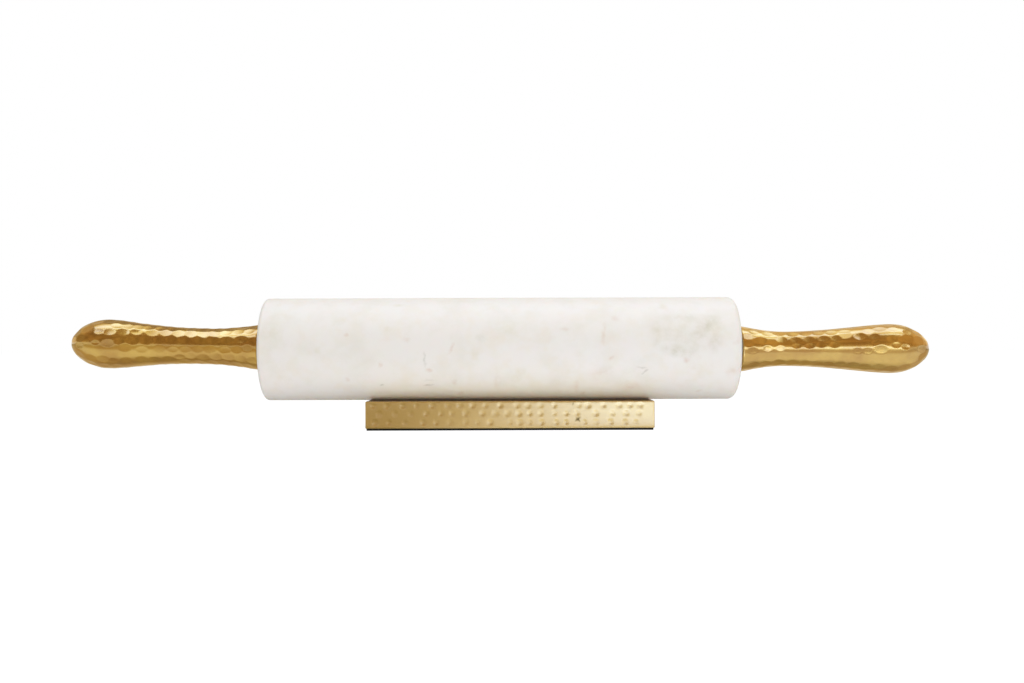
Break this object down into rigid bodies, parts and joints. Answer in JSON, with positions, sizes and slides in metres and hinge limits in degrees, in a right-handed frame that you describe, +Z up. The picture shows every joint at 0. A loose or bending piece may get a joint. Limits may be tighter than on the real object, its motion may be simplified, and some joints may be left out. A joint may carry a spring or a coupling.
{
  "type": "rolling pin with stand",
  "caption": "Marble rolling pin: a bored marble barrel turns on a steel axle between domed metal handles, and the pin lies in a shallow groove on a low hammered stand.",
  "frame": {"origin": "on the table under the middle of the pin, at the bottom centre of the object's box", "axes": "+X along the pin to the right, the front faces -Y, +Z up"},
  "size_m": [0.4548, 0.054, 0.0683],
  "materials": {
    "marble": "honed white marble with faint grey and pink clouds",
    "nylon": "natural white moulded nylon",
    "steel": "ground steel",
    "handle_metal": "hammered cast aluminium with a satin gold finish",
    "stand_metal": "hammered brass sheet, satin",
    "wood": "plain unfinished wood",
    "felt": "black felt"
  },
  "bodies": {
    "cradle": {"cradle_shell": "stand_metal", "cradle_core": "wood", "lip_screws": "steel", "base_felt": "felt"},
    "axle": {"axle_rod": "steel", "left_thrust_washer": "steel", "right_thrust_washer": "steel", "left_thread_insert": "steel", "right_thread_insert": "steel", "left_handle": "handle_metal", "right_handle": "handle_metal"},
    "barrel": {"marble_barrel": "marble", "left_bush": "nylon", "right_bush": "nylon"}
  },
  "joints": [
    {"name": "pin_lift", "type": "slide", "parent": "cradle", "child": "axle", "axis": [0, 0, 1], "range_m": [0, 0.12]},
    {"name": "barrel_spin", "type": "hinge", "parent": "axle", "child": "barrel", "pos_m": [0, 0, 0.0413], "axis": [1, 0, 0], "continuous": true}
  ]
}
